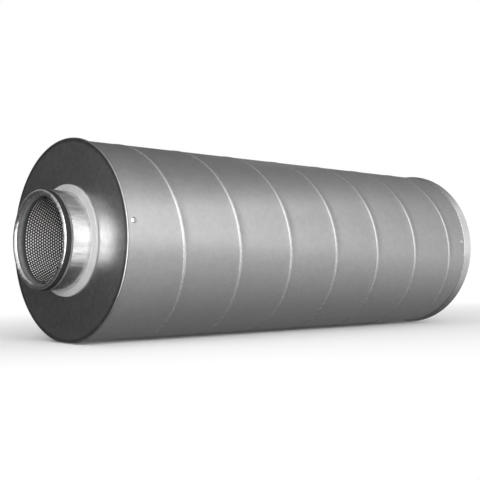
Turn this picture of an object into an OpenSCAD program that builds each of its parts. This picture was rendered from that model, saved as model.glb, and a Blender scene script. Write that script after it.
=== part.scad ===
// Duct sound attenuator: a spiral-wound casing packed with mineral wool round a
// perforated liner, closed by two pressed end caps that each carry a duct spigot.
// Lengths in millimetres. The axis lies along X, Z is up and the origin is the middle.

/* [Casing] */
// outside diameter of the wound casing
casing_d = 324; // [260:1:500]
// length of the casing between the two end beads
casing_len = 907; // [500:5:1500]
// thickness of the casing sheet
casing_sheet = 0.7; // [0.5:0.1:1.5]

/* [Spiral seam] */
// distance along the axis between two turns of the seam
seam_pitch = 121; // [90:0.1:160]
// angle from the top, towards the front, where the seam leaves the inlet edge
seam_start = 132.1; // [0:0.1:360]
// width of the seam at its foot
seam_w = 7; // [4:0.5:12]
// height of the seam above the casing
seam_h = 0.6; // [0.4:0.1:2]

/* [End caps] */
// thickness of the end cap sheet
cap_sheet = 1; // [0.6:0.1:1.3]
// width of the rolled bead along the axis
bead_w = 4; // [3.6:0.1:6]
// how far the bead stands out from the casing
bead_h = 3.3; // [2.5:0.1:5]
// length of the flange inside the casing
flange_len = 32; // [30:1:50]
// width of the hem that the outlet cap folds back over the casing
hem_w = 15; // [8:0.1:16]

/* [Spigots] */
// outside diameter of the spigot wall, for a 160 mm duct
spigot_d = 159; // [120:0.1:200]
// length of the spigot in front of the end cap
spigot_len = 52.5; // [46:0.5:60]
// thickness of the spigot sheet
spigot_sheet = 0.9; // [0.6:0.1:1]
// radial depth of the rolled mouth, from the outside to the inner sleeve's bore
mouth_depth = 9.4; // [8.8:0.1:10.4]
// length of the inner sleeve, from the mouth inwards
sleeve_len = 18; // [16:0.5:28]
// width of the foot flange behind the end cap
foot_w = 12; // [6:0.5:20]
// how far the spigot is drawn in where it stands in the end cap
neck_in = 0.7; // [0.6:0.05:0.8]

/* [Seals] */
// width of the gasket groove along the axis
groove_w = 8; // [7:0.5:12]
// depth of the gasket groove
groove_d = 2.8; // [2.2:0.1:3]
// how far round the rolled mouth the gasket groove begins, in degrees
groove_turn = 30; // [26:1:32]
// how far the laid-back gasket lips stand out from the spigot wall
lip_proud = 0.3; // [0.1:0.05:0.35]
// width of the joint ring on the end cap
ring_w = 10.5; // [6:0.1:18]
// height of the joint ring at the spigot wall
ring_h = 4.6; // [2:0.1:8]
// thickness of the joint ring at its outer edge
ring_edge = 3.4; // [2.4:0.1:3.9]

/* [Liner and packing] */
// thickness of the perforated liner sheet
liner_sheet = 0.7; // [0.5:0.1:1.2]
// length of liner that overlaps each inner sleeve
liner_overlap = 12; // [6:0.5:14]
// thickness of the glass tissue wrap
tissue_t = 0.6; // [0.3:0.1:1]

/* [Rivets] */
// distance of the inlet rivets from the casing's edge
inlet_rivet_inset = 11; // [9:0.5:18]
// distance of the outlet rivets from the casing's edge, clear of the hem
outlet_rivet_inset = 24; // [21:0.5:25]
// diameter of the dome heads
rivet_head_d = 9.6; // [7:0.1:12]
// diameter of the rivet shanks
rivet_shank_d = 4.8; // [4:0.1:5.2]
// angle from the seam to the first inlet rivet, so that no head lands on the seam
inlet_rivet_turn = -84.5; // [-90:0.5:-80]
// angle from the seam to the first outlet rivet
outlet_rivet_turn = -153.5; // [-160:0.5:-150]

/* [Fits] */
// clearance between sheets that slide into each other
slide_gap = 0.25; // [0.15:0.05:0.4]
// gap between faces that are pushed up against each other
butt_gap = 0.2; // [0.1:0.05:0.3]
// clearance of a shank in its hole, all round
hole_gap = 0.1; // [0.05:0.05:0.2]

/* [Hidden] */
$fn = 96;
seam_steps = 72;
rise_steps = 3;
arc_steps = 8;
rivet_count = 3;
// small clearances under seated parts, and round a pin in its rivet
seat_gap = 0.1;
pin_gap = 0.05;
// how far the wool, the tissue and the seam keep clear of the edges next to them
wool_clear = 1;
tissue_clear = 2;
seam_clear = 1;
// how far a rivet hole is cut to each side of the casing wall
hole_reach = 10;
casing_r = casing_d / 2;
casing_ri = casing_r - casing_sheet;
// the flat facets of the wall come nearest to the axis at their middles
casing_near = casing_ri * cos(180 / seam_steps);
flange_r = casing_near - slide_gap;
bead_r = casing_r + bead_h;
bead_round = (bead_w - butt_gap) / 2;
cap_face = bead_w;
cap_back = bead_w - cap_sheet;
spigot_r = spigot_d / 2;
tip = cap_face + spigot_len;
bore_r = spigot_r - mouth_depth;
sleeve_ro = bore_r + spigot_sheet;
sleeve_end = tip - sleeve_len;
nose_r = mouth_depth / 2;
nose_c = [spigot_r - nose_r, tip - nose_r];
groove_out = nose_c[1] + nose_r * sin(groove_turn);
groove_in = groove_out - groove_w;
groove_r = spigot_r - groove_d;
cap_hole_r = spigot_r + slide_gap;
foot_face = cap_back - butt_gap;
foot_back = foot_face - spigot_sheet;
foot_r = spigot_r + foot_w;
ring_seat = cap_face + seat_gap;
// the spigot is drawn in a little where it stands in the end cap and the joint ring
neck_r = spigot_r - neck_in;
neck_end = ring_seat + ring_h + slide_gap;
liner_ri = sleeve_ro + butt_gap;
liner_ro = liner_ri + liner_sheet;
liner_half = casing_len / 2 + sleeve_end + liner_overlap;
tissue_ri = liner_ro + butt_gap;
tissue_ro = tissue_ri + tissue_t;
tissue_half = liner_half - tissue_clear;
wool_ri = tissue_ro + butt_gap;
wool_half = casing_len / 2 + foot_back - butt_gap;
wool_neck_half = casing_len / 2 - flange_len - wool_clear;
inlet_rivet_x = -casing_len / 2 + inlet_rivet_inset;
outlet_rivet_x = casing_len / 2 - outlet_rivet_inset;
inlet_rivet_angle = seam_start + inlet_rivet_inset / seam_pitch * 360 + inlet_rivet_turn;
outlet_rivet_angle =
    seam_start + (casing_len - outlet_rivet_inset) / seam_pitch * 360 + outlet_rivet_turn;
rivet_ro = casing_r + pin_gap;
shank_r = rivet_shank_d / 2;
pin_r = shank_r * 0.45;
tail_r = shank_r * 1.4;
tail_len = 5;
tail_end_r = tail_r * 0.8;
tail_shoulder = tail_len * 0.6;
head_h = rivet_head_d * 0.22;
head_edge = head_h * 0.25;
pin_rise = head_h * 0.6;

zinc = [0.72, 0.73, 0.74];
dark_zinc = [0.5, 0.51, 0.53];
rubber = [0.06, 0.06, 0.06];
ring_grey = [0.8, 0.8, 0.79];
tissue_white = [0.9, 0.89, 0.85];
wool_yellow = [0.72, 0.66, 0.42];
aluminium = [0.8, 0.8, 0.82];
steel = [0.45, 0.45, 0.47];

// points of an arc, from angle a to angle b
function arc(c, r, a, b) =
    [for (i = [0 : arc_steps])
        let (t = a + (b - a) * i / arc_steps)
        [c[0] + r * cos(t), c[1] + r * sin(t)]];

// turn a profile of [radius, distance out from the casing edge] round the outlet end
module at_outlet()
    translate([casing_len / 2, 0, 0]) rotate([0, 90, 0]) children();

// the same at the inlet end
module at_inlet() mirror([1, 0, 0]) at_outlet() children();

// turn a profile of [radius, distance from the middle] round the axis
module round_axis(points)
    rotate([0, 90, 0]) rotate_extrude() polygon(points);

// a place on the casing: angle from the top towards the front, local Z pointing outwards
module on_casing(x, angle)
    translate([x, 0, 0]) rotate([angle, 0, 0]) children();

// CASING

// angle of step i along the seam, and the middle of the seam at that step
seam_margin = seam_w / 2 + seam_clear;
function seam_angle(i) = seam_start + (seam_margin / seam_pitch + i / seam_steps) * 360;
function seam_x(i) = -casing_len / 2 + seam_margin + seam_pitch * i / seam_steps;
// the seam stops short of the hem at the outlet
seam_n = floor((casing_len - 2 * seam_margin - hem_w) / seam_pitch * seam_steps);

// a point at radius r, angle a from the top towards the front
function wall_point(x, r, a) = [x, -r * sin(a), r * cos(a)];

// the seam rises from nothing over its first steps and sinks again over its last
function seam_rise(i) = seam_h * min(1, i / rise_steps, (seam_n - i) / rise_steps);

// the seam's foot and the edges of its flat top, across the seam
seam_flat = seam_w * 0.6;
seam_offsets = [-seam_w / 2, -seam_flat / 2, seam_flat / 2, seam_w / 2];

seam_points = [
    for (i = [0 : seam_n])
        for (k = [0 : 3])
            wall_point(
                seam_x(i) + seam_offsets[k],
                casing_r + (k == 1 || k == 2 ? seam_rise(i) : 0),
                seam_angle(i)
            )
];

// the four end circles: inlet outside, outlet outside, inlet inside, outlet inside
circle_points = [
    for (c = [[-1, casing_r], [1, casing_r], [-1, casing_ri], [1, casing_ri]])
        for (j = [0 : seam_steps - 1])
            wall_point(c[0] * casing_len / 2, c[1], seam_angle(j))
];

function sp(i, k) = 4 * i + k;
function cp(c, j) = 4 * (seam_n + 1) + c * seam_steps + j % seam_steps;

ridge_faces = [
    for (i = [0 : seam_n - 1])
        for (k = [0 : 2])
            for (half = [0, 1])
                half == 0
                    ? [sp(i, k), sp(i + 1, k), sp(i + 1, k + 1)]
                    : [sp(i, k), sp(i + 1, k + 1), sp(i, k + 1)]
];

strip_faces = [
    for (i = [0 : seam_n - 1 - seam_steps])
        [sp(i, 3), sp(i + 1, 3), sp(i + 1 + seam_steps, 0), sp(i + seam_steps, 0)]
];

inlet_faces = concat(
    [for (i = [0 : seam_steps - 2]) [cp(0, i), cp(0, i + 1), sp(i + 1, 0), sp(i, 0)]],
    [[
        cp(0, seam_steps - 1), cp(0, 0), sp(0, 0), sp(0, 1), sp(0, 2), sp(0, 3),
        sp(seam_steps, 0), sp(seam_steps - 1, 0)
    ]]
);

last = seam_n - seam_steps;
outlet_faces = concat(
    [for (i = [last + 1 : seam_n - 1]) [sp(i, 3), sp(i + 1, 3), cp(1, i + 1), cp(1, i)]],
    [[
        cp(1, last + 1), cp(1, last), sp(seam_n, 3), sp(seam_n, 2), sp(seam_n, 1),
        sp(seam_n, 0), sp(last, 3), sp(last + 1, 3)
    ]]
);

bore_faces = [
    for (j = [0 : seam_steps - 1]) [cp(2, j), cp(3, j), cp(3, j + 1), cp(2, j + 1)]
];

edge_faces = concat(
    [for (j = [0 : seam_steps - 1]) [cp(0, j), cp(2, j), cp(2, j + 1), cp(0, j + 1)]],
    [for (j = [0 : seam_steps - 1]) [cp(1, j), cp(1, j + 1), cp(3, j + 1), cp(3, j)]]
);

module rivet_holes(x, angle)
    for (k = [0 : rivet_count - 1])
        on_casing(x, angle + k * 360 / rivet_count)
            translate([0, 0, casing_r - hole_reach])
                cylinder(r = shank_r + hole_gap, h = 2 * hole_reach);

module outer_casing()
    color(zinc)
    difference() {
        polyhedron(
            concat(seam_points, circle_points),
            concat(
                ridge_faces, strip_faces, inlet_faces, outlet_faces, bore_faces, edge_faces
            )
        );
        rivet_holes(inlet_rivet_x, inlet_rivet_angle);
        rivet_holes(outlet_rivet_x, outlet_rivet_angle);
    }

// END CAPS

bead_c = [bead_r - bead_round, cap_face - bead_round];

// from the top of the bead over the face to the hole, and back along the inside of the sheet
cap_front = concat(
    arc(bead_c, bead_round, 0, 90),
    [[cap_hole_r, cap_face], [cap_hole_r, cap_back]],
    arc(bead_c, bead_round - cap_sheet, 90, -90),
    [[flange_r - cap_sheet, butt_gap + cap_sheet], [flange_r - cap_sheet, -flange_len]]
);
flange_wall = [[flange_r, -flange_len], [flange_r, butt_gap]];

inlet_cap_profile = concat(flange_wall, arc(bead_c, bead_round, -90, -90 / arc_steps), cap_front);

// the outlet cap's bead runs out in a hem that lies on the casing
hem_ri = casing_r + slide_gap;
// the hem is pressed thin at its edge
hem_edge = cap_sheet * 0.6;
outlet_cap_profile = concat(
    flange_wall,
    [[hem_ri, butt_gap], [hem_ri, -hem_w], [hem_ri + hem_edge, -hem_w]],
    cap_front
);

module inlet_end_cap()
    color(dark_zinc)
    difference() {
        at_inlet() rotate_extrude() polygon(inlet_cap_profile);
        rivet_holes(inlet_rivet_x, inlet_rivet_angle);
    }

module outlet_end_cap()
    color(dark_zinc)
    difference() {
        at_outlet() rotate_extrude() polygon(outlet_cap_profile);
        rivet_holes(outlet_rivet_x, outlet_rivet_angle);
    }

// SPIGOTS

// where the inside of the rolled sheet meets the wall of the groove
inner_turn = asin((nose_r * sin(groove_turn) + spigot_sheet) / (nose_r - spigot_sheet));

spigot_profile = concat(
    // outside, from the foot flange to the mouth and into the sleeve
    [
        [foot_r, foot_back], [foot_r, foot_face], [neck_r, foot_face],
        [neck_r, neck_end], [spigot_r, neck_end],
        [spigot_r, groove_in], [groove_r, groove_in], [groove_r, groove_out]
    ],
    arc(nose_c, nose_r, groove_turn, 180),
    [[bore_r, sleeve_end], [sleeve_ro, sleeve_end]],
    // back along the inside of the sheet
    arc(nose_c, nose_r - spigot_sheet, 180, inner_turn),
    [
        [groove_r - spigot_sheet, groove_out + spigot_sheet],
        [groove_r - spigot_sheet, groove_in - spigot_sheet],
        [spigot_r - spigot_sheet, groove_in - spigot_sheet],
        [spigot_r - spigot_sheet, neck_end + spigot_sheet],
        [neck_r - spigot_sheet, neck_end + spigot_sheet],
        [neck_r - spigot_sheet, foot_back]
    ]
);

module spigot() rotate_extrude() polygon(spigot_profile);
module inlet_spigot() color(zinc) at_inlet() spigot();
module outlet_spigot() color(zinc) at_outlet() spigot();

// SEALS

seat_r = groove_r + seat_gap;
lip_r = spigot_r + lip_proud;
lip_thick = 0.7;
gasket_in = groove_in + butt_gap;
gasket_out = groove_out - butt_gap;
gasket_w = gasket_out - gasket_in;
// where the tip of the front lip, the notch behind it and the root of the back lip lie
front_lip = gasket_out - gasket_w * 0.44;
lip_notch = gasket_out - gasket_w * 0.5;
back_root = gasket_out - gasket_w * 0.58;
back_lip = gasket_in + gasket_w * 0.06;

// a seated band with two lips laid back from the mouth
gasket_profile = [
    [seat_r, gasket_in], [seat_r, gasket_out],
    [spigot_r - lip_thick, gasket_out],
    [lip_r, front_lip],
    [lip_r - lip_thick, lip_notch],
    [spigot_r - 2 * lip_thick, lip_notch],
    [spigot_r - lip_thick, back_root],
    [lip_r, back_lip],
    [lip_r - lip_thick, gasket_in]
];

module lip_gasket() rotate_extrude() polygon(gasket_profile);
module inlet_lip_gasket() color(rubber) at_inlet() lip_gasket();
module outlet_lip_gasket() color(rubber) at_outlet() lip_gasket();

ring_ri = spigot_r + slide_gap;
ring_chamfer = 0.8;
ring_profile = [
    [ring_ri, ring_seat],
    [ring_ri + ring_w, ring_seat],
    [ring_ri + ring_w, ring_seat + ring_edge - ring_chamfer],
    [ring_ri + ring_w - ring_chamfer, ring_seat + ring_edge],
    [ring_ri + ring_chamfer, ring_seat + ring_h],
    [ring_ri, ring_seat + ring_h]
];

module joint_ring() rotate_extrude() polygon(ring_profile);
module inlet_joint_ring() color(ring_grey) at_inlet() joint_ring();
module outlet_joint_ring() color(ring_grey) at_outlet() joint_ring();

// LINER AND PACKING

module perforated_liner()
    color(zinc)
    round_axis([
        [liner_ri, -liner_half], [liner_ro, -liner_half],
        [liner_ro, liner_half], [liner_ri, liner_half]
    ]);

module tissue_wrap()
    color(tissue_white)
    round_axis([
        [tissue_ri, -tissue_half], [tissue_ro, -tissue_half],
        [tissue_ro, tissue_half], [tissue_ri, tissue_half]
    ]);

// the wool fills the casing, and is squeezed a little inside the cap flanges and rivet tails
wool_ro = casing_near - slide_gap;
wool_neck = flange_r - cap_sheet - tail_len - 2 * slide_gap;
module wool_packing()
    color(wool_yellow)
    round_axis([
        [wool_ri, -wool_half], [wool_neck, -wool_half], [wool_neck, -wool_neck_half],
        [wool_ro, -wool_neck_half], [wool_ro, wool_neck_half], [wool_neck, wool_neck_half],
        [wool_neck, wool_half], [wool_ri, wool_half]
    ]);

// RIVETS

grip = casing_r - flange_r + cap_sheet;
tail_top = -grip - seat_gap - pin_gap;

rivet_profile = concat(
    [[pin_r, 0], [rivet_head_d / 2, 0], [rivet_head_d / 2, head_edge]],
    [for (i = [1 : arc_steps])
        let (t = i / arc_steps)
        [
            rivet_head_d / 2 + (pin_r - rivet_head_d / 2) * t,
            head_edge + (head_h - head_edge) * sin(90 * t)
        ]]
);

module rivet_set(x, angle)
    for (k = [0 : rivet_count - 1])
        on_casing(x, angle + k * 360 / rivet_count)
            translate([0, 0, rivet_ro])
                union() {
                    rotate_extrude() polygon(rivet_profile);
                    rotate_extrude() polygon([
                        [pin_r, seat_gap], [pin_r, tail_top - tail_len],
                        [tail_end_r, tail_top - tail_len], [tail_r, tail_top - tail_shoulder],
                        [tail_r, tail_top], [shank_r, tail_top], [shank_r, seat_gap]
                    ]);
                }

module inlet_rivets()
    color(aluminium)
    rivet_set(inlet_rivet_x, inlet_rivet_angle);

module outlet_rivets()
    color(aluminium)
    rivet_set(outlet_rivet_x, outlet_rivet_angle);

module rivet_pin_set(x, angle)
    for (k = [0 : rivet_count - 1])
        on_casing(x, angle + k * 360 / rivet_count)
            translate([0, 0, rivet_ro + tail_top - tail_len + seat_gap])
                cylinder(r = pin_r - pin_gap, h = grip + tail_len + pin_rise);

module inlet_rivet_pins()
    color(steel)
    rivet_pin_set(inlet_rivet_x, inlet_rivet_angle);

module outlet_rivet_pins()
    color(steel)
    rivet_pin_set(outlet_rivet_x, outlet_rivet_angle);

outer_casing();
inlet_end_cap();
outlet_end_cap();
inlet_spigot();
outlet_spigot();
inlet_lip_gasket();
outlet_lip_gasket();
inlet_joint_ring();
outlet_joint_ring();
perforated_liner();
tissue_wrap();
wool_packing();
inlet_rivets();
outlet_rivets();
inlet_rivet_pins();
outlet_rivet_pins();
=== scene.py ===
# %% [markdown]
# # A duct sound attenuator
# This silencer sits in a round ventilation duct and quietens the air that passes through it. A strip
# of galvanised steel is wound into the outer casing, two pressed caps close its ends, and each cap
# carries a spigot with a rubber gasket. Inside, a perforated liner is wrapped in glass tissue and
# mineral wool. The solids arrive as a fixed frame in metres, with the axis along X and the origin in
# the middle, so every new piece is placed from their boxes.

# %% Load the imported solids
import math

import bmesh
import bpy
import numpy as np
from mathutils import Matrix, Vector


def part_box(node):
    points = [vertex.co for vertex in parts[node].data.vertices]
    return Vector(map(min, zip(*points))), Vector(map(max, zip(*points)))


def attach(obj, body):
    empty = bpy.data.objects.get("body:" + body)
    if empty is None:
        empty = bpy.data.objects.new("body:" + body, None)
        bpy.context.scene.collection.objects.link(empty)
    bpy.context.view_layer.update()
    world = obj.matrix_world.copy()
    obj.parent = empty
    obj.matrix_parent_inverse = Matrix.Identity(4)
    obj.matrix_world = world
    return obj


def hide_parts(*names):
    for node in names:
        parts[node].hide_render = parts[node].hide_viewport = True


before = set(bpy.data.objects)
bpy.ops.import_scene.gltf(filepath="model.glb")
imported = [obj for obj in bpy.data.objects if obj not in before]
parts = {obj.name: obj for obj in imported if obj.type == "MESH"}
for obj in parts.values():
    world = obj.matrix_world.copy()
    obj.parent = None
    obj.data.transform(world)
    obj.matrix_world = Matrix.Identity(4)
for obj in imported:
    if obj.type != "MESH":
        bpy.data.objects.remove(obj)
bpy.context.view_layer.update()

scene = bpy.context.scene
scene.view_settings.view_transform = "Standard"
print("solids in the frame:", len(parts))

# %% [markdown]
# ## Reading the sizes
# The boxes of the solids give most lengths that the new pieces need, so the pieces follow if a solid is
# made again in another size. The thickness of the sheet, the radius of the casing's wall and the length
# of the sleeve in each mouth are written down, because no box shows them.

# %% Sizes taken from the frame
SHEET = 0.0007
CASING_RADIUS = 0.162
SLEEVE_LENGTH = 0.018

casing_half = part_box("outer_casing")[1].x
rim_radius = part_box("inlet_end_cap")[1].y
mouth_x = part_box("inlet_spigot")[0].x
liner_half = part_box("perforated_liner")[1].x
liner_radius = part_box("perforated_liner")[1].y - SHEET
gasket_end = -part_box("inlet_lip_gasket")[1].x
floor_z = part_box("inlet_end_cap")[0].z
print(f"casing {2 * casing_half:.3f} m long, rim radius {rim_radius:.4f} m, mouth at {mouth_x:.3f} m")

# %% [markdown]
# ## Helpers for materials
# Every finish here is a small tree of nodes round one Principled shader. The helpers add a node or two
# and return the socket that the next node needs, so that a finish reads like a recipe. All patterns use
# object coordinates, which are metres in the frame, so a crystal keeps its real size on every piece.

# %% Start a finish and measure places
def new_finish(name, **sockets):
    """A material with a Principled shader, and plain values set on its own sockets."""
    finish = bpy.data.materials.new(name)
    finish.use_nodes = True
    tree = finish.node_tree
    shader = tree.nodes["Principled BSDF"]
    for socket, value in sockets.items():
        shader.inputs[socket.replace("_", " ")].default_value = value
    return finish, tree, shader


def wire(tree, shader, tint, roughness, normal):
    """Link a colour, a roughness and a normal to the shader."""
    tree.links.new(tint, shader.inputs["Base Color"])
    tree.links.new(roughness, shader.inputs["Roughness"])
    tree.links.new(normal, shader.inputs["Normal"])


def metres(tree, stretch=(1, 1, 1)):
    """Object coordinates, stretched along the axes where a pattern runs one way."""
    place = tree.nodes.new("ShaderNodeTexCoord")
    scaled = tree.nodes.new("ShaderNodeMapping")
    scaled.inputs["Scale"].default_value = stretch
    tree.links.new(place.outputs["Object"], scaled.inputs["Vector"])
    return scaled.outputs["Vector"]


def reach(tree, stretch):
    """Distance from the middle of the part in metres, after each axis is stretched."""
    made = tree.nodes.new("ShaderNodeVectorMath")
    made.operation = "LENGTH"
    tree.links.new(metres(tree, stretch), made.inputs[0])
    return made.outputs["Value"]


def from_axis(tree):
    """Distance from the axis of the part, in metres."""
    return reach(tree, (0, 1, 1))


def along_axis(tree):
    """Distance along the axis from the middle of the part, in metres."""
    return reach(tree, (1, 0, 0))


def place_on(tree, axis):
    """Place along one axis of the frame, X, Y or Z, in metres."""
    split = tree.nodes.new("ShaderNodeSeparateXYZ")
    tree.links.new(metres(tree), split.inputs["Vector"])
    return split.outputs[axis]


def above_axis(tree):
    """Height above the axis of the part, in metres, and below 0 under it."""
    return place_on(tree, "Z")


print("places are measured from the axis, along it and above it")

# %% [markdown]
# Patterns come from two texture nodes. Soft noise makes clouds, pores, dust and fibres, and a pattern of
# cells gives each crystal of zinc a value of its own. Photographs of the surfaces would do the same, but
# these need no file and have no edges. A bump node tilts the surface by the height that a pattern gives,
# which costs no faces.

# %% Patterns and bumps
def noise(tree, where, per_metre, detail=3.0, rough=0.5):
    """Soft noise from 0 to 1, with a given number of waves a metre."""
    made = tree.nodes.new("ShaderNodeTexNoise")
    made.inputs["Scale"].default_value = per_metre
    made.inputs["Detail"].default_value = detail
    made.inputs["Roughness"].default_value = rough
    tree.links.new(where, made.inputs["Vector"])
    return made.outputs["Fac"]


def crystals(tree, where, per_metre):
    """One random value for each crystal of a zinc coating."""
    made = tree.nodes.new("ShaderNodeTexVoronoi")
    made.inputs["Scale"].default_value = per_metre
    tree.links.new(where, made.inputs["Vector"])
    channels = tree.nodes.new("ShaderNodeSeparateColor")
    tree.links.new(made.outputs["Color"], channels.inputs["Color"])
    return channels.outputs["Red"]


def bump(tree, height, strength, depth, under=None):
    """A bumped normal, on top of another one where it is given; depth is in metres."""
    made = tree.nodes.new("ShaderNodeBump")
    made.inputs["Strength"].default_value = strength
    made.inputs["Distance"].default_value = depth
    tree.links.new(height, made.inputs["Height"])
    if under:
        tree.links.new(under, made.inputs["Normal"])
    return made.outputs["Normal"]


print("patterns: noise and crystals")

# %% [markdown]
# Plain sums stand between a pattern and a socket of the shader. A value is blended with another, spread
# over the range that the socket needs, or turned into greys by a ramp. Zinc, rubber and tissue have no
# colour of their own, so nearly all ramps here are neutral.

# %% Sums, ranges and greys
def combine(tree, how, first, second):
    """Two values put together by a sum, a product or the like; each is a socket or a number."""
    made = tree.nodes.new("ShaderNodeMath")
    made.operation = how
    for slot, value in enumerate((first, second)):
        if isinstance(value, (int, float)):
            made.inputs[slot].default_value = value
        else:
            tree.links.new(value, made.inputs[slot])
    return made.outputs["Value"]


def blend(tree, first, second, share):
    """A mix of two values, with the given share of the second."""
    kept = combine(tree, "MULTIPLY", first, 1 - share)
    return combine(tree, "ADD", kept, combine(tree, "MULTIPLY", second, share))


def spread(tree, value, low, high, start=0.0, end=1.0):
    """Stretch a value that runs from start to end over the range low to high."""
    made = tree.nodes.new("ShaderNodeMapRange")
    made.inputs["From Min"].default_value = start
    made.inputs["From Max"].default_value = end
    made.inputs["To Min"].default_value = low
    made.inputs["To Max"].default_value = high
    tree.links.new(value, made.inputs["Value"])
    return made.outputs["Result"]


def shades(tree, value, stops):
    """A ramp of colours: stops are (place, colour)."""
    made = tree.nodes.new("ShaderNodeValToRGB")
    ramp = made.color_ramp
    while len(ramp.elements) < len(stops):
        ramp.elements.new(0.5)
    for element, (place, colour) in zip(ramp.elements, stops):
        element.position = place
        element.color = (*colour, 1)
    tree.links.new(value, made.inputs["Fac"])
    return made.outputs["Color"]


def grey(level):
    """A neutral colour."""
    return (level, level, level)


def greys(tree, value, stops):
    """A ramp of neutral greys: stops are (place, level)."""
    return shades(tree, value, [(place, grey(level)) for place, level in stops])


def dimmed(tree, colour, share):
    """A colour times a share, which is 1 where the colour stays as it is."""
    made = tree.nodes.new("ShaderNodeVectorMath")
    made.operation = "SCALE"
    tree.links.new(colour, made.inputs[0])
    tree.links.new(share, made.inputs["Scale"])
    return made.outputs["Vector"]


print("sums, ranges and greys ready")

# %% [markdown]
# ## Galvanised sheet
# Hot-dip zinc freezes in crystals of up to a centimetre, called spangle. Each crystal mirrors the room a
# little differently, and the sheet is never quite even. A pattern of cells makes the crystals, slow noise
# the cloudiness and fine noise the grain. Sheet that was rolled into a narrow collar is also slightly
# dented along the axis, so the light on it breaks up in streaks. A bump does that without real dents, and
# the same waves make the colour lighter and darker, which is painted light and shade in streaks.

# %% A recipe for galvanised sheet
SPANGLE = 150
CLOUDS = 9
GRAIN = 420
CLOUD_SHARE = 0.55
GRAIN_SHARE = 0.3
# mixed patterns seldom leave this range
COMMON = (0.25, 0.75)

DENT_STRETCH = (0.25, 1, 1)
DENT_RANGE = (0.3, 0.7)
# how much lighter and darker the dents make the colour: painted light and shade in streaks
PAINTED_STREAKS = (0.76, 1.14)


def galvanised(name, dark, light, gloss, metallic=1.0, painted_shade=None, dents=None):
    """Zinc-coated sheet between two greys; gloss gives the lowest and highest roughness.

    Painted shade darkens places: how a place is measured, two such measures, and (share of the way,
    level).
    Dents are shallow waves that run along the axis: how many a metre, and their depth in metres. They also
    make the colour lighter and darker, as painted light and shade.
    """
    finish, tree, shader = new_finish(name, Metallic=metallic)
    where = metres(tree)
    grain = noise(tree, where, GRAIN, detail=4)
    mottle = blend(tree, crystals(tree, where, SPANGLE), noise(tree, where, CLOUDS), CLOUD_SHARE)
    haze = blend(tree, mottle, grain, GRAIN_SHARE)
    tint = greys(tree, mottle, zip(COMMON, (dark, light)))
    normal = bump(tree, grain, strength=0.08, depth=0.0002)
    # painted shade: a ramp over a measure of place darkens the colour
    if painted_shade:
        measure, start, end, stops = painted_shade
        along = spread(tree, measure(tree), 0.0, 1.0, start, end)
        tint = dimmed(tree, tint, greys(tree, along, stops))
    if dents:
        waves, depth = dents
        rolled = noise(tree, metres(tree, DENT_STRETCH), waves)
        # painted light and shade: the colour follows the dents
        tint = dimmed(tree, tint, spread(tree, rolled, *PAINTED_STREAKS, *DENT_RANGE))
        normal = bump(tree, rolled, strength=1.0, depth=depth, under=normal)
    wire(tree, shader, tint, spread(tree, haze, *gloss, *COMMON), normal)
    return finish


print("spangle:", round(1000 / SPANGLE, 1), "mm wide")

# %% [markdown]
# Some places of the sheet get painted shade. The fold at the foot of each rim is painted darker, and each
# sleeve is painted darkest at its inner end. The seam and the hem are painted darker on top and underneath
# than at the sides, as shade. Such places could be painted by hand, but a ramp over the distance from the
# axis, along it or above it puts them where they belong on every piece.

# %% The galvanised finishes
FOLD_INSIDE = 0.157
FOLD_OUTSIDE = 0.166

# painted shade in the fold at the foot of each rim
RIM_FOLD_SHADE = (from_axis, FOLD_INSIDE, FOLD_OUTSIDE,
             [(0.0, 1.0), (0.3, 0.6), (0.68, 0.6), (0.76, 1.0)])
# painted shade, darkest at the inner end of each sleeve
SLEEVE_PAINTED_SHADE = (along_axis, -mouth_x - SLEEVE_LENGTH, -mouth_x,
                [(0.0, 0.22), (0.2, 0.3), (0.38, 0.72), (0.52, 0.97), (0.72, 0.6), (1.0, 0.6)])
# painted shade: the seam is darker on top and underneath than at the sides
SEAM_PAINTED_SHADE = (above_axis, -rim_radius, rim_radius,
              [(0.14, 0.56), (0.2, 0.64), (0.29, 0.74), (0.4, 1.0), (0.67, 1.0), (0.81, 0.7),
               (0.95, 0.68)])
# painted shade: the hem is darker on top and underneath than at the sides
HEM_PAINTED_SHADE = (above_axis, -rim_radius, rim_radius,
             [(0.05, 0.36), (0.18, 0.6), (0.3, 1.0), (0.68, 1.0), (0.88, 0.8), (0.97, 0.62)])

casing_zinc = galvanised("casing_zinc", 0.64, 0.69, (0.31, 0.36))
# the plate's grey is darker than the casing's: painted shade of the end face, with its fold painted darker
# still
plate_zinc = galvanised("plate_zinc", 0.42, 0.51, (0.30, 0.34), painted_shade=RIM_FOLD_SHADE)
# the seam's brighter grey is a painted highlight
seam_zinc = galvanised("seam_zinc", 0.84, 0.89, (0.26, 0.31), metallic=0.87, painted_shade=SEAM_PAINTED_SHADE)
# the hem's brighter grey is a painted highlight
hem_zinc = galvanised("hem_zinc", 0.94, 0.98, (0.20, 0.24), painted_shade=HEM_PAINTED_SHADE)
spigot_zinc = galvanised("spigot_zinc", 0.76, 0.80, (0.24, 0.28), dents=(75, 0.0016))
# the sleeve's dark grey is painted shade inside the mouth
sleeve_shaded_zinc = galvanised("sleeve_shaded_zinc", 0.22, 0.27, (0.45, 0.55), metallic=0.3, painted_shade=SLEEVE_PAINTED_SHADE)
# the liner's nearly black grey is painted shade inside the tube
liner_shaded_zinc = galvanised("liner_shaded_zinc", 0.04, 0.065, (0.30, 0.42))
print("galvanised finishes: casing, seam, plate, hem, spigot, sleeve, liner")

# %% [markdown]
# ## Rubber gasket and joint ring
# The gasket is black rubber with a little dust and a soft gloss, and its laid-back tail has a painted
# highlight on its ridge and painted shade at both ends. The ring at the foot of the spigot is a light grey
# moulded seal with fine pores. Both need only noise on a plain shader. The painted highlight and shade
# follow a ramp along the axis, so that they end where the tail ends.

# %% Finishes of the seals
TAIL_LENGTH = 0.0045
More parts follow.
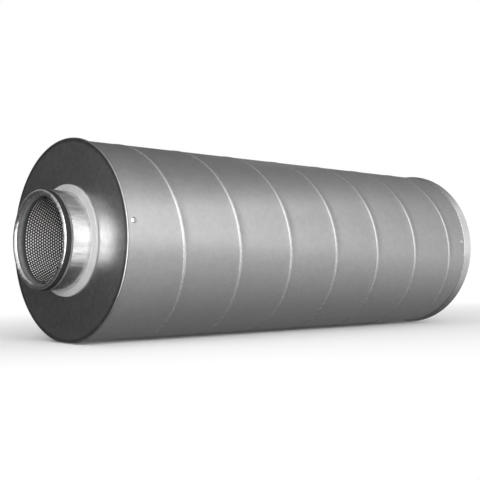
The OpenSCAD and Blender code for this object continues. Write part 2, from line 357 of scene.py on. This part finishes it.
# shares of the way from the end of a gasket's tail to its groove, and how grey the rubber is there: a
# painted highlight on the ridge and painted shade at both ends; past the groove the gasket keeps the last
# level
TAIL_HIGHLIGHT_AND_SHADE = [(0.0, 0.3), (0.15, 0.4), (0.3, 1.0), (0.6, 1.0), (0.85, 0.3), (1.0, 0.1)]


def rubber_finish():
    """Black rubber with a soft gloss, with a painted highlight and painted shade on its tail."""
    finish, tree, shader = new_finish("gasket_rubber", Specular_IOR_Level=0.2)
    where = metres(tree)
    dust = noise(tree, where, per_metre=60)
    pores = noise(tree, where, per_metre=900)
    tint = greys(tree, dust, [(0.35, 0.15), (0.8, 0.22)])
    # painted highlight on the tail's ridge and painted shade at its ends, by place along the axis
    along = spread(tree, along_axis(tree), 0.0, 1.0, gasket_end - TAIL_LENGTH, gasket_end)
    tint = dimmed(tree, tint, greys(tree, along, TAIL_HIGHLIGHT_AND_SHADE))
    roughness = spread(tree, dust, low=0.45, high=0.65)
    wire(tree, shader, tint, roughness, bump(tree, pores, strength=0.15, depth=0.0001))
    return finish


def moulded_finish():
    """Light grey moulded seal with fine pores."""
    finish, tree, shader = new_finish("joint_ring_grey", Specular_IOR_Level=0.6)
    where = metres(tree)
    patch = noise(tree, where, per_metre=35)
    pores = noise(tree, where, per_metre=700, detail=5)
    tint = greys(tree, patch, [(0.3, 0.385), (0.75, 0.445)])
    roughness = spread(tree, pores, low=0.3, high=0.42)
    wire(tree, shader, tint, roughness, bump(tree, pores, strength=0.2, depth=0.0001))
    return finish


gasket_rubber = rubber_finish()
ring_grey = moulded_finish()
print("finishes of the seals: rubber and moulded ring")

# %% [markdown]
# ## Tissue, wool and rivets
# Tissue and wool are mats of fibres that lie mostly one way, so their noise is stretched across that way.
# Hair strands would be truer, but the mats show only through small holes. Rivets are bright aluminium
# with fine scratches, and the pins that broke off inside them are darker steel.

# %% Finishes of the packing and the rivets
SCRATCH_STRETCH = (1, 1, 6)


def fibre_finish(name, dark, light, stretch, per_metre):
    """A mat of fibres that run mostly along one axis."""
    finish, tree, shader = new_finish(name, Specular_IOR_Level=0.15)
    fibres = noise(tree, metres(tree, stretch), per_metre, detail=6, rough=0.7)
    tint = shades(tree, fibres, [(0.3, dark), (0.7, light)])
    roughness = spread(tree, fibres, low=0.8, high=0.95)
    wire(tree, shader, tint, roughness, bump(tree, fibres, strength=0.4, depth=0.0004))
    return finish


def rivet_finish(name, dark, light, gloss):
    """Bright metal with fine scratches; gloss gives the lowest and highest roughness."""
    finish, tree, shader = new_finish(name, Metallic=1.0)
    scratches = noise(tree, metres(tree, SCRATCH_STRETCH), per_metre=800, detail=5, rough=0.7)
    tint = greys(tree, scratches, [(0.3, dark), (0.7, light)])
    roughness = spread(tree, scratches, *gloss)
    wire(tree, shader, tint, roughness, bump(tree, scratches, strength=0.1, depth=0.0001))
    return finish


tissue_white = fibre_finish("glass_tissue", grey(0.84), grey(0.94), (1, 2.5, 2.5), 350)
wool_yellow = fibre_finish("mineral_wool", (0.42, 0.36, 0.18), (0.66, 0.59, 0.34), (1, 3, 3), 120)
rivet_metal = rivet_finish("rivet_aluminium", 0.66, 0.78, (0.18, 0.3))
pin_metal = rivet_finish("rivet_pin_steel", 0.3, 0.42, (0.3, 0.45))
print("finishes of tissue, wool, rivets and pins ready")

# %% [markdown]
# ## Dressing the solids that stay
# Caps, spigots, seals, rivets and packing have their true form already, so they only get a finish. The
# casing and the liner are replaced further down, because their seam and punching are finer than the
# solids carry.

# %% Give each solid its finish
FINISHES = {
    "end_cap": plate_zinc,
    "spigot": spigot_zinc,
    "lip_gasket": gasket_rubber,
    "joint_ring": ring_grey,
    "rivets": rivet_metal,
    "rivet_pins": pin_metal,
}


def dress(part, finish):
    """Give a solid one material."""
    part.data.materials.clear()
    part.data.materials.append(finish)


for end in ("inlet", "outlet"):
    for kind, finish in FINISHES.items():
        dress(parts[f"{end}_{kind}"], finish)
dress(parts["tissue_wrap"], tissue_white)
dress(parts["wool_packing"], wool_yellow)
print("solids dressed:", 2 * len(FINISHES) + 2)

# %% [markdown]
# Two kinds of solid show a second look. The sleeve that is rolled into each spigot is matt, and its dark
# grey is painted shade inside the mouth. The hem of the outlet cap, which folds over the casing, is given
# a brighter grey than the casing as a painted highlight. Both could be split off as pieces, but they are
# one sheet with their neighbours, so the faces are picked by their place along the axis and their distance
# from it.

# %% A second finish on the sleeves and the hem
SLEEVE_RADIUS = 0.0716
NOSE_DEPTH = 0.003


def dress_faces(part, finish, wanted):
    """Give a second material to the faces whose middle passes a test of place and radius."""
    part.data.materials.append(finish)
    picked = 0
    for face in part.data.polygons:
        middle = face.center
        if wanted(abs(middle.x), math.hypot(middle.y, middle.z)):
            face.material_index = 1
            picked += 1
    return picked


def in_sleeve(x, radius):
    """Whether a place lies in a sleeve, behind the rounded nose of the mouth."""
    return radius < SLEEVE_RADIUS and x < -mouth_x - NOSE_DEPTH


def on_hem(x, radius):
    """Whether a place lies outside the casing, wherever it is along the axis."""
    return radius > CASING_RADIUS


for end in ("inlet", "outlet"):
    print(end, "sleeve faces:", dress_faces(parts[f"{end}_spigot"], sleeve_shaded_zinc, in_sleeve))
print("hem faces:", dress_faces(parts["outlet_end_cap"], hem_zinc, on_hem))

# %% [markdown]
# ## The spiral casing
# A strip is wound like a helix and its edges are folded together four sheets thick and pressed nearly
# flat, which leaves a low lock seam that climbs round the tube. A screw modifier could sweep the strip,
# but a grid made from the winding's own formula keeps every point exactly on the tube. One row of the
# grid crosses the strip from the middle of one turn to the next, with the seam in between.

# %% One row across the strip
SEAM_PITCH = 0.121
SEAM_WIDTH = 0.007
SEAM_HEIGHT = 0.0006
FLAT_STEPS = 4

# distance from the middle of the seam and height above the sheet, as shares of its width and height
SEAM_SHAPE = [
    (-0.50, 0.0), (-0.44, 0.06), (-0.38, 0.28), (-0.31, 0.66), (-0.24, 0.92), (-0.15, 1.0),
    (0.05, 0.97), (0.22, 0.80), (0.35, 0.50), (0.44, 0.18), (0.50, 0.0),
]


def strip_row():
    """Offsets and heights across one strip, from half a pitch before the seam to half a pitch after."""
    flat = np.linspace(SEAM_WIDTH / 2, SEAM_PITCH / 2, FLAT_STEPS + 1)[1:]
    seam_across = [share * SEAM_WIDTH for share, _ in SEAM_SHAPE]
    seam_up = [share * SEAM_HEIGHT for _, share in SEAM_SHAPE]
    across = np.concatenate([-flat[::-1], seam_across, flat])
    up = np.concatenate([np.zeros(FLAT_STEPS), seam_up, np.zeros(FLAT_STEPS)])
    return across, up


print("points across the strip:", len(strip_row()[0]))

# %% [markdown]
# The row is then carried round the axis in small steps and moved on by a share of the pitch at each one.
# Part of a turn more than the casing needs is wound at each end, because a helix doesn't end square.
# Before the hem of the outlet cap, which is folded over the casing, the seam is pressed flat.

# %% Wind the strip
SEAM_START = math.radians(132.1)
STEPS_A_TURN = 180
EXTRA_TURNS = 0.6
HEM_WIDTH = 0.015
SEAM_FADE = 0.014


def on_tube(x, radius, angle):
    """Points on a tube round the axis; the angle runs from the top towards the front."""
    return np.stack([x, -radius * np.sin(angle), radius * np.cos(angle)], axis=-1)


def wound_grid():
    """Corners and faces of the wound strip, a little longer than the casing."""
    across, up = strip_row()
    first = -int(EXTRA_TURNS * STEPS_A_TURN)
    last = int((2 * casing_half / SEAM_PITCH + EXTRA_TURNS) * STEPS_A_TURN)
    step = np.arange(first, last + 1)
    angle = SEAM_START + 2 * math.pi * step / STEPS_A_TURN
    middle = -casing_half + SEAM_PITCH * step / STEPS_A_TURN
    x = middle[:, None] + across[None, :]
    to_hem = casing_half - HEM_WIDTH - SEAM_WIDTH / 2 - x
    radius = CASING_RADIUS + up[None, :] * np.clip(to_hem / SEAM_FADE, 0, 1)
    corners = on_tube(x, radius, np.broadcast_to(angle[:, None], x.shape)).reshape(-1, 3)
    rows, columns = x.shape
    low = (np.arange(rows - 1)[:, None] * columns + np.arange(columns - 1)[None, :]).reshape(-1)
    faces = np.stack([low, low + 1, low + columns + 1, low + columns], axis=1)
    return corners.tolist(), faces.tolist()


print("steps a turn:", STEPS_A_TURN)

# %% [markdown]
# The grid becomes a mesh, its turns are welded to each other, and both ends are cut square. The real tube
# is cut on a saw, and here a cutting plane does it. The seam's faces get their brighter finish, a painted
# highlight, while the faces still lie in rows. A modifier adds the thickness of the sheet on the inside.

# %% Cut the casing and put it in place
WELD_DISTANCE = 1e-6
BRIGHT_FACES = 8


def new_piece(name, corners, faces, finish):
    """A mesh object from lists of corners and faces."""
    mesh = bpy.data.meshes.new(name)
    mesh.from_pydata(corners, [], faces)
    mesh.materials.append(finish)
    piece = bpy.data.objects.new(name, mesh)
    scene.collection.objects.link(piece)
    return piece


def welded(piece):
    """The mesh of a piece, opened for editing, with corners that share a place joined."""
    shape = bmesh.new()
    shape.from_mesh(piece.data)
    bmesh.ops.remove_doubles(shape, verts=shape.verts, dist=WELD_DISTANCE)
    return shape


def cut_square(shape, ends):
    """Cut a mesh at right angles to the axis; an end is a place and the way that leads out there."""
    for x, outward in ends:
        everything = shape.verts[:] + shape.edges[:] + shape.faces[:]
        bmesh.ops.bisect_plane(shape, geom=everything, plane_co=(x, 0, 0), plane_no=(outward, 0, 0),
                               clear_outer=True)


def put_back(shape, piece):
    """Write an edited mesh back to its piece."""
    shape.to_mesh(piece.data)
    shape.free()


casing = new_piece("wound_casing", *wound_grid(), casing_zinc)
casing.data.materials.append(seam_zinc)
faces_across = len(strip_row()[0]) - 1
on_seam = np.zeros(faces_across, dtype=int)
on_seam[FLAT_STEPS:FLAT_STEPS + BRIGHT_FACES] = 1
rows = len(casing.data.polygons) // faces_across
casing.data.polygons.foreach_set("material_index", np.tile(on_seam, rows))

tube = welded(casing)
cut_square(tube, [(-casing_half, -1), (casing_half, 1)])
bmesh.ops.recalc_face_normals(tube, faces=tube.faces)
for face in tube.faces:
    face.smooth = True
for edge in tube.edges:
    edge.smooth = not edge.is_boundary
put_back(tube, casing)

thickness = casing.modifiers.new("sheet", "SOLIDIFY")
thickness.thickness = SHEET
thickness.offset = -1
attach(casing, "root")
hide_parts("outer_casing")
print("casing faces:", len(casing.data.polygons))

# %% [markdown]
# ## Gasket tails and sealing beads
# The back lip of the rubber gasket is laid back over the wall of the spigot, past the groove that holds
# its root. The joint ring is pressed to the same wall and closed by a thin bead of its own material. The
# solids stop a hair short of both, so two narrow bands are turned round the axis here from short
# profiles. A screw modifier would do the same, but points from a formula stay on the wall exactly.

# %% Profiles of the tails and beads
TAIL_HEIGHT = 0.0003
BEAD_SIZE = 0.001
wall_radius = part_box("inlet_lip_gasket")[1].y - TAIL_HEIGHT
ring_face = -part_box("inlet_joint_ring")[0].x

# shares of the way from the groove to the end of the tail, and of its height; it bites into the wall
TAIL_SHAPE = [
    (0.0, -0.4), (0.0, 0.6), (0.12, 0.92), (0.3, 1.0), (0.7, 0.9), (0.92, 0.5), (1.0, 0.1), (1.0, -0.4),
]
# shares of the bead's size in front of the ring, and out from the wall
BEAD_SHAPE = [
    (0.8, -0.1), (0.8, 0.1), (0.65, 0.3), (0.4, 0.5), (0.2, 0.7), (0.05, 1.0), (-0.2, 1.0), (-0.2, -0.1),
]

tail_profile = [
    (gasket_end - along * TAIL_LENGTH, wall_radius + up * TAIL_HEIGHT) for along, up in TAIL_SHAPE
]
bead_profile = [
    (ring_face + ahead * BEAD_SIZE, wall_radius + out * BEAD_SIZE) for ahead, out in BEAD_SHAPE
]
print(f"wall of the spigot at {1000 * wall_radius:.2f} mm from the axis")

# %% [markdown]
# Each profile is a closed outline of (place along the axis, radius). It is repeated round the axis, and
# each step is joined to the next by faces of four corners. At the inlet the outline is mirrored, which
# would turn the faces inside out, so their corners are taken in the other order there.

# %% Turn the tails and beads
BAND_STEPS = 120
SHARP_ANGLE = math.radians(40)


def turned(profile, side):
    """Corners and faces of a closed band at one end; side is -1 for the inlet and 1 for the outlet."""
    along, radius = np.array(profile).T
    count = len(profile)
    angle = 2 * math.pi * np.arange(BAND_STEPS) / BAND_STEPS
    x = np.broadcast_to(side * along, (BAND_STEPS, count))
    corners = on_tube(x, radius, angle[:, None]).reshape(-1, 3)
    step, point = np.meshgrid(np.arange(BAND_STEPS), np.arange(count), indexing="ij")
    next_step = (step + 1) % BAND_STEPS
    next_point = (point + 1) % count
    ring = [step * count + point, step * count + next_point,
            next_step * count + next_point, next_step * count + point]
    faces = np.stack(ring, axis=-1).reshape(-1, 4)
    outward = faces if side > 0 else faces[:, ::-1]
    return corners.tolist(), outward.tolist()


def turned_band(name, profile, side, finish):
    """A narrow band round the spigot as a piece of the model."""
    band = new_piece(name, *turned(profile, side), finish)
    band.data.shade_smooth()
    band.data.set_sharp_from_angle(angle=SHARP_ANGLE)
    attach(band, "root")
    print(name, "faces:", len(band.data.polygons))


for end, side in (("inlet", -1), ("outlet", 1)):
    turned_band(f"{end}_gasket_tail", tail_profile, side, gasket_rubber)
    turned_band(f"{end}_sealing_bead", bead_profile, side, ring_grey)

# %% [markdown]
# ## The perforated liner
# The liner is punched with small round holes in a staggered pattern, about two fifths of the sheet in
# all, so that sound reaches the wool. Booleans on thousands of holes would take minutes. Instead the
# sheet is tiled with six-sided cells, one round each hole, and each cell is a ring of faces between its
# border and its hole. Near the mouths, where one can look closely, the holes get the sheet's depth.

# %% Lay out the punching
HOLE_RADIUS = 0.0017
HOLES_A_ROUND = 90
HOLE_CORNERS = 8
CELL_CORNERS = 6
DEEP_ROWS = 28
# the punching runs on a little way behind each sleeve
PUNCHED_BEHIND_SLEEVE = 0.003

hole_pitch = 2 * math.pi * liner_radius / HOLES_A_ROUND
row_gap = hole_pitch * math.sqrt(3) / 2
punched_half = -mouth_x - SLEEVE_LENGTH + PUNCHED_BEHIND_SLEEVE


def on_liner(x, round_by, depth=0.0):
    """Points on the liner from flat lengths along and round it, depth metres out from its bore."""
    return on_tube(x, liner_radius + depth, round_by / liner_radius)


def ring_faces(outer, inner):
    """Triangles between the corners of a cell and the corners of its hole, in order of angle."""
    faces = []
    at_cell = at_hole = 0
    while at_cell < CELL_CORNERS or at_hole < HOLE_CORNERS:
        here, edge = outer[at_cell % CELL_CORNERS], inner[at_hole % HOLE_CORNERS]
        cell_next = (at_cell + 1) / CELL_CORNERS <= (at_hole + 1) / HOLE_CORNERS
        if at_hole == HOLE_CORNERS or cell_next:
            at_cell += 1
            faces.append((here, outer[at_cell % CELL_CORNERS], edge))
        else:
            at_hole += 1
            faces.append((here, inner[at_hole % HOLE_CORNERS], edge))
    return faces


print(f"holes {2000 * HOLE_RADIUS:.1f} mm wide, {1000 * hole_pitch:.2f} mm apart")

# %% [markdown]
# The cells of one half of the liner are made together as arrays: the centres first, then the corners
# of every cell and hole at once. Arrays are much faster than a loop over the cells. Cells past the
# punched length stay whole.

# %% Cells of one half
def cell_centres(side):
    """Centres of the cells of one half as flat lengths, and which of them are punched or deep."""
    last_row = int(math.ceil((liner_half + row_gap) / row_gap))
    row, place = np.meshgrid(np.arange(last_row), np.arange(HOLES_A_ROUND), indexing="ij")
    row, place = row.reshape(-1), place.reshape(-1)
    stagger = 0.5 * ((row + (side < 0)) % 2)
    x = side * (row + 0.5) * row_gap
    punched = np.abs(x) < punched_half
    deep = punched & (np.abs(x) > punched_half - DEEP_ROWS * row_gap)
    return x, (place + stagger) * hole_pitch, punched, deep


def round_centres(x, round_by, radius, count):
    """Flat lengths of count corners round each centre, at a radius from it."""
    turn = 2 * math.pi * np.arange(count) / count
    return x[:, None] + radius * np.cos(turn), round_by[:, None] + radius * np.sin(turn)


def punched_half_liner(side):
    """Corners and faces of one half of the liner."""
    x, round_by, punched, deep = cell_centres(side)
    cell_border = round_centres(x, round_by, hole_pitch / math.sqrt(3), CELL_CORNERS)
    hole_border = round_centres(x, round_by, HOLE_RADIUS, HOLE_CORNERS)
    layers = [on_liner(*cell_border), on_liner(*hole_border), on_liner(*hole_border, SHEET)]
    corners = np.concatenate([layer.reshape(-1, 3) for layer in layers])
    hole_start = CELL_CORNERS * len(x)
    to_back = HOLE_CORNERS * len(x)
    faces = []
    for cell in range(len(x)):
        outer = range(CELL_CORNERS * cell, CELL_CORNERS * (cell + 1))
        if not punched[cell]:
            faces.append(tuple(outer))
            continue
        inner = range(hole_start + HOLE_CORNERS * cell, hole_start + HOLE_CORNERS * (cell + 1))
        faces += ring_faces(outer, inner)
        if deep[cell]:
            ring = list(inner)
            for here, after in zip(ring, ring[1:] + ring[:1]):
                faces.append((here, after, after + to_back, here + to_back))
    return corners.tolist(), faces


print(f"punched for {punched_half:.3f} m each way from the middle")

# %% [markdown]
# Neighbouring cells share their borders, so the corners there are welded, and the corners that no face
# uses are deleted. Then the sheet is cut at the end of the liner and at the middle. The two halves are
# separate meshes, so that neither grows too heavy.

# %% Punch the two halves
def liner_piece(name, side):
    """One half of the liner as a piece of the model."""
    piece = new_piece(name, *punched_half_liner(side), liner_shaded_zinc)
    shape = welded(piece)
    loose = [corner for corner in shape.verts if not corner.link_faces]
    bmesh.ops.delete(shape, geom=loose, context="VERTS")
    cut_square(shape, [(side * liner_half, side), (0, -side)])
    put_back(shape, piece)
    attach(piece, "root")
    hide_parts("perforated_liner")
    return piece


for name, side in (("liner_inlet_half", -1), ("liner_outlet_half", 1)):
    half = liner_piece(name, side)
    triangles = sum(len(face.vertices) - 2 for face in half.data.polygons)
    print(name, "triangles:", triangles)

# %% [markdown]
# ## A white world
# The photograph is a plain cut-out on white, so the world is white wherever the camera or a reflection
# sees it. It could be made white by more light, but that would wash out the object. A Light Path node
# tells apart what is seen from what lights the matt pieces, which get a plain ambient level.

# %% White world
AMBIENT = 0.55
WHITE = (1, 1, 1, 1)


def seen_directly(tree):
    """1 for camera, glossy and transmission rays, and 0 for the rest."""
    path = tree.nodes.new("ShaderNodeLightPath")
    seen = combine(tree, "MAXIMUM", path.outputs["Is Camera Ray"], path.outputs["Is Glossy Ray"])
    return combine(tree, "MAXIMUM", seen, path.outputs["Is Transmission Ray"])


def show_mixed(tree, share, first, second, output):
    """Send a mix of two shaders to an output node, with the given share of the second."""
    mix = tree.nodes.new("ShaderNodeMixShader")
    tree.links.new(share, mix.inputs["Fac"])
    tree.links.new(first, mix.inputs[1])
    tree.links.new(second, mix.inputs[2])
    tree.links.new(mix.outputs["Shader"], tree.nodes[output].inputs["Surface"])


world = bpy.data.worlds.new("white_studio")
world.use_nodes = True
scene.world = world
sky = world.node_tree
ambient = sky.nodes["Background"]
ambient.inputs["Color"].default_value = WHITE
ambient.inputs["Strength"].default_value = AMBIENT
white = sky.nodes.new("ShaderNodeBackground")
white.inputs["Color"].default_value = WHITE
white.inputs["Strength"].default_value = 1.0
show_mixed(sky, seen_directly(sky), ambient.outputs["Background"], white.outputs["Background"],
           "World Output")
print("world: white where it is seen, ambient", AMBIENT)

# %% [markdown]
# ## The floor
# The attenuator lies on a pale floor, which keeps its soft shadow. Further out the floor has to melt into
# the white world, and a matt floor alone would leave a grey edge. So the floor turns to plain white with
# the distance from the object, more slowly along the object than across it.

# %% Floor with a soft shadow
FLOOR_SIZE = 12.0
FLOOR_LEVEL = 0.95
FLOOR_STRETCH = (0.45, 1, 1)
SHADOW_START = 0.15
SHADOW_REACH = 0.9


def floor_finish():
    """White floor that keeps the shadow near the object and fades to plain white further out."""
    finish, tree, shader = new_finish("white_floor", Base_Color=(*grey(FLOOR_LEVEL), 1), Roughness=0.9,
                                      Specular_IOR_Level=0.0)
    far_out = spread(tree, reach(tree, FLOOR_STRETCH), 0.0, 1.0, SHADOW_START, SHADOW_REACH)
    glow = tree.nodes.new("ShaderNodeEmission")
    glow.inputs["Strength"].default_value = 1.0
    share = combine(tree, "MULTIPLY", far_out, seen_directly(tree))
    show_mixed(tree, share, shader.outputs["BSDF"], glow.outputs["Emission"], "Material Output")
    return finish


def flat_card(name, corners, finish):
    """One four-sided card."""
    card = new_piece(name, corners, [(0, 1, 2, 3)], finish)
    return card


def level_card(x0, y0, x1, y1, z):
    """Corners of a card that lies level."""
    return [(x0, y0, z), (x1, y0, z), (x1, y1, z), (x0, y1, z)]


far = FLOOR_SIZE / 2
floor = flat_card("floor", level_card(-far, -far, far, far, 0), floor_finish())
floor.location.z = floor_z
print("floor at", round(floor_z, 4))

# %% [markdown]
# ## Cards for the metal to mirror
# Bare metal shows only what surrounds it, so a studio hangs cards round it. A card here is one glowing
# face whose greys change along an axis by a ramp. Several even cards would need many edges, but a ramp
# gives a soft band in the sheet. Reflections see the cards, while the camera, the matt pieces and the
# shadows don't.

# %% A recipe for cards
def card_finish(name, ramps, strength):
    """A glowing card: each ramp is an axis, two places on it, and greys as (share of the way, grey)."""
    finish = bpy.data.materials.new(name)
    finish.use_nodes = True
    tree = finish.node_tree
    tree.nodes.remove(tree.nodes["Principled BSDF"])
    level = strength
    for axis, start, end, stops in ramps:
        along = spread(tree, place_on(tree, axis), 0.0, 1.0, start, end)
        level = combine(tree, "MULTIPLY", greys(tree, along, stops), level)
    glow = tree.nodes.new("ShaderNodeEmission")
    tree.links.new(level, glow.inputs["Strength"])
    tree.links.new(glow.outputs["Emission"], tree.nodes["Material Output"].inputs["Surface"])
    return finish


def mirrored_card(name, corners, ramps, strength=1.0):
    """A card that reflections see, and nothing else."""
    card = flat_card(name, corners, card_finish(name + "_glow", ramps, strength))
    card.visible_camera = False
    card.visible_diffuse = False
    card.visible_transmission = False
    card.visible_shadow = False
    print("card:", name)


def upright(x0, y0, x1, y1, low, high):
    """Corners of a card that stands over the line between two places."""
    return [(x0, y0, low), (x1, y1, low), (x1, y1, high), (x0, y0, high)]


CARD_SIDE = 4.0
CARD_BACK = 1.9
CARD_TOP = 1.9
CARD_LIFT = 0.002
card_floor = floor_z + CARD_LIFT
print("cards stand", CARD_LIFT, "m above the floor")

# %% [markdown]
# Four large cards make a room round the object: behind, above, under and to the right of it. The inlet
# plate mirrors the dark left half of the back card. The top of the casing mirrors the top card and the
# right half of the back card, and its front mirrors the right card and the card under it.

# %% The room of four cards
TOP_CARD_FRONT = -2.4
UNDER_CARD_FRONT = -3.0
UNDER_CARD_DARK = 0.4
RIGHT_CARD_X = 2.6
RIGHT_CARD_FRONT = -3.4

mirrored_card(
    "back_card", upright(-CARD_SIDE, CARD_BACK, CARD_SIDE, CARD_BACK, card_floor, CARD_TOP),
    [("X", -CARD_SIDE, CARD_SIDE,
      [(0.1, 0.32), (0.235, 0.12), (0.28, 0.06), (0.32, 0.04), (0.38, 0.05), (0.43, 0.4), (0.46, 0.55),
       (0.51, 0.55), (0.54, 0.4), (0.59, 0.11), (0.7, 0.11), (0.84, 0.32), (1.0, 0.4)])],
)
mirrored_card(
    "top_card", level_card(-CARD_SIDE, TOP_CARD_FRONT, CARD_SIDE, CARD_BACK, CARD_TOP),
    [("Y", CARD_BACK, TOP_CARD_FRONT, [(0.0, 0.15), (0.4, 0.25), (0.6, 0.4), (0.82, 0.7), (1.0, 0.95)]),
     ("X", -CARD_SIDE, CARD_SIDE,
      [(0.3, 1.0), (0.5, 0.52), (0.65, 0.315), (0.72, 0.40), (0.8, 0.54), (1.0, 0.6)])],
    strength=2.4,
)
mirrored_card(
    "under_card", level_card(-CARD_SIDE, UNDER_CARD_FRONT, CARD_SIDE, CARD_BACK, card_floor),
    [("Y", UNDER_CARD_DARK, UNDER_CARD_FRONT,
      [(0.0, 0.06), (0.12, 0.10), (0.15, 0.2), (0.175, 0.32), (0.21, 0.44), (0.3, 0.55), (0.5, 0.64),
       (1.0, 0.8)])],
)
mirrored_card(
    "right_card", upright(RIGHT_CARD_X, RIGHT_CARD_FRONT, RIGHT_CARD_X, CARD_BACK, card_floor, CARD_TOP),
    [("Y", CARD_BACK, RIGHT_CARD_FRONT,
      [(0.0, 0.15), (0.42, 0.3), (0.7, 0.52), (0.79, 0.60), (0.85, 0.70), (0.925, 0.86), (1.0, 1.0)])],
)

# %% [markdown]
# Three smaller cards add what the room lacks. A bright card in front and a bright one low on the left
# give the spigot and the rim their highlights. A pale one lies on the floor behind the object, so that
# its far side isn't black when one walks round it. The two low ones lie just above the card under them.

# %% Three smaller cards
FRONT_CARD_LINE = (-2.7, -1.9, -0.9, -2.9)
FRONT_CARD_LOW = -0.15
LOW_CARD_X = (-3.0, -0.5)
LOW_CARD_EDGE = -0.12
LOW_CARD_FULL = -0.3
BEHIND_CARD_X = (-0.8, 2.2)
BEHIND_CARD_EDGE = 0.25
CARD_STEP = 0.001

above_card = card_floor + CARD_STEP
mirrored_card(
    "front_card", upright(*FRONT_CARD_LINE, FRONT_CARD_LOW, CARD_TOP),
    [("Z", FRONT_CARD_LOW, CARD_TOP, [(0.0, 1.0), (0.8, 1.0), (1.0, 0.8)])],
    strength=3.5,
)
mirrored_card(
    "low_card", level_card(LOW_CARD_X[0], UNDER_CARD_FRONT, LOW_CARD_X[1], LOW_CARD_EDGE, above_card),
    [("Y", LOW_CARD_EDGE, LOW_CARD_FULL, [(0.0, 0.12), (0.45, 0.5), (1.0, 1.0)])],
    strength=2.9,
)
mirrored_card(
    "behind_card", level_card(BEHIND_CARD_X[0], BEHIND_CARD_EDGE, BEHIND_CARD_X[1], CARD_BACK, above_card),
    [("X", *BEHIND_CARD_X, [(0.0, 0.06), (0.18, 0.28), (0.3, 0.44), (0.8, 0.44), (1.0, 0.2)]),
     ("Y", BEHIND_CARD_EDGE, CARD_BACK, [(0.0, 0.3), (0.15, 1.0), (1.0, 1.0)])],
)

# %% [markdown]
# ## Lamps
# The cards light nothing, so rubber, joint ring and tissue need lamps. Two large soft ones do: one in
# front of the casing, and one that shines into the mouth. They are hidden from reflections, because a
# lamp would show in the sheet as a square spot.

# %% Two soft lamps
def soft_lamp(name, place, aim, size, watts):
    """A square soft lamp that lights matt surfaces and leaves no spot in the metal."""
    data = bpy.data.lights.new(name, "AREA")
    data.shape = "SQUARE"
    data.size = size
    data.energy = watts
    lamp = bpy.data.objects.new(name, data)
    lamp.location = place
    lamp.rotation_euler = (Vector(aim) - Vector(place)).to_track_quat("-Z", "Y").to_euler()
    lamp.visible_glossy = False
    scene.collection.objects.link(lamp)
    print("lamp:", name, watts, "W")


soft_lamp("front_lamp", place=(-0.6, -2.4, 1.0), aim=(-0.2, 0, 0), size=1.4, watts=30)
soft_lamp("mouth_lamp", place=(-1.94, -1.76, 0.5), aim=(-0.45, 0.03, -0.01), size=1.0, watts=42)

# %% [markdown]
# ## Camera
# The rims, the seams and the mouth were fitted to a pinhole camera, which gave the place, the direction
# and the focal length below. The camera stands in front of the inlet end, a hand above the floor, and
# looks very slightly up.

# %% Set up the camera
CAMERA_PLACE = Vector((-1.2530, -1.2472, -0.0454))
CAMERA_LOOKS = Vector((0.68659, 0.72635, 0.03178))
FOCAL_LENGTH = 67.96
SENSOR_WIDTH = 36.0

camera_data = bpy.data.cameras.new("camera")
camera_data.lens = FOCAL_LENGTH
camera_data.sensor_width = SENSOR_WIDTH
camera = bpy.data.objects.new("camera", camera_data)
camera.location = CAMERA_PLACE
camera.rotation_euler = CAMERA_LOOKS.to_track_quat("-Z", "Y").to_euler()
scene.collection.objects.link(camera)
scene.camera = camera
print("camera at", [round(value, 3) for value in CAMERA_PLACE])

# %% Finish
print("scene built")
